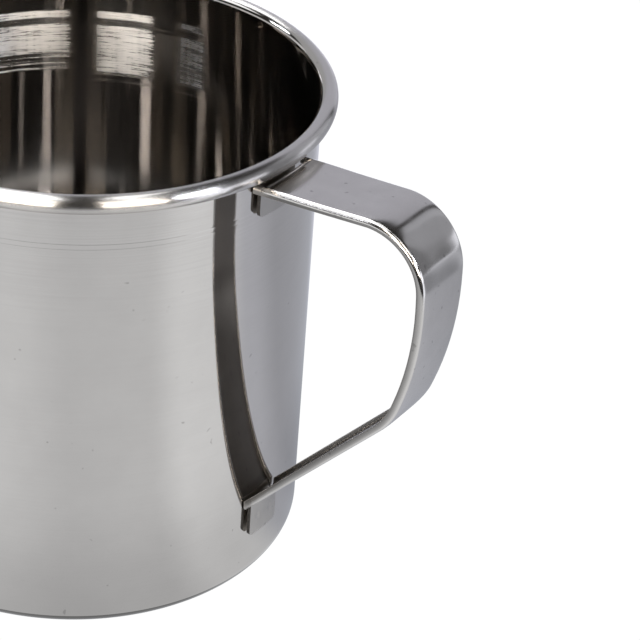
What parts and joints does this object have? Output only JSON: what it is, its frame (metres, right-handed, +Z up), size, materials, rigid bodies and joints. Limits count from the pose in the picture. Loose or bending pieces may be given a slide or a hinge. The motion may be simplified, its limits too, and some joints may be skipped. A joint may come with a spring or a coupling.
{
  "type": "steel mug",
  "caption": "Straight-sided stainless-steel drinking mug with a rolled rim and a pressed strap handle spot-welded to the wall.",
  "frame": {"origin": "centre of the flat underside that the mug stands on", "axes": "+Z up along the cup's axis, +X from the axis towards the handle"},
  "size_m": [0.1285, 0.096, 0.095],
  "materials": {
    "cup_steel": "polished stainless steel, with fine horizontal polishing lines",
    "handle_steel": "satin stainless steel with light tumbling marks",
    "weld_steel": "dull spot-welded steel"
  },
  "bodies": {
    "root": {"cup_shell": "cup_steel", "handle_strap": "handle_steel", "upper_weld_left": "weld_steel", "upper_weld_right": "weld_steel", "lower_weld_left": "weld_steel", "lower_weld_right": "weld_steel"}
  },
  "joints": []
}
